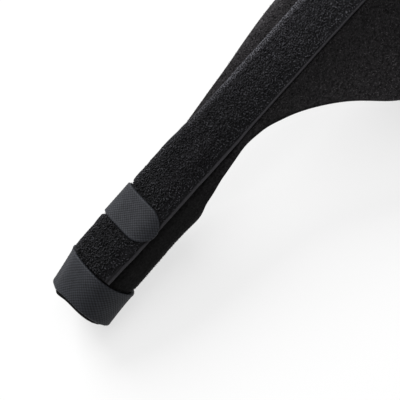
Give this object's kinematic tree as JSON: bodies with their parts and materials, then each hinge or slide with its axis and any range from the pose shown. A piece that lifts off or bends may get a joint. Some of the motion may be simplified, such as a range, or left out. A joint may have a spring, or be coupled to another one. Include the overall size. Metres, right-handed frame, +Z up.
{
  "type": "finger splint",
  "caption": "Soft finger splint: padded wrap with a stay pocket along its back, hook straps round the finger and a strapped wrist cuff.",
  "frame": {"origin": "on the table under the middle of the part's box, as it rests on its wrist strap and tip strap", "axes": "+X from the wrist to the fingertip, +Y to the little-finger side, +Z up off the back of the hand"},
  "size_m": [0.194, 0.068, 0.0473],
  "materials": {
    "wrap_cloth": "black brushed loop cloth on foam",
    "loop_pile": "black curly loop pile",
    "hook_tape": "grey woven hook tape"
  },
  "bodies": {
    "root": {"wrap": "wrap_cloth", "stay_pocket": "loop_pile", "middle_strap": "hook_tape", "tip_strap": "hook_tape", "wrist_strap": "hook_tape"}
  },
  "joints": []
}
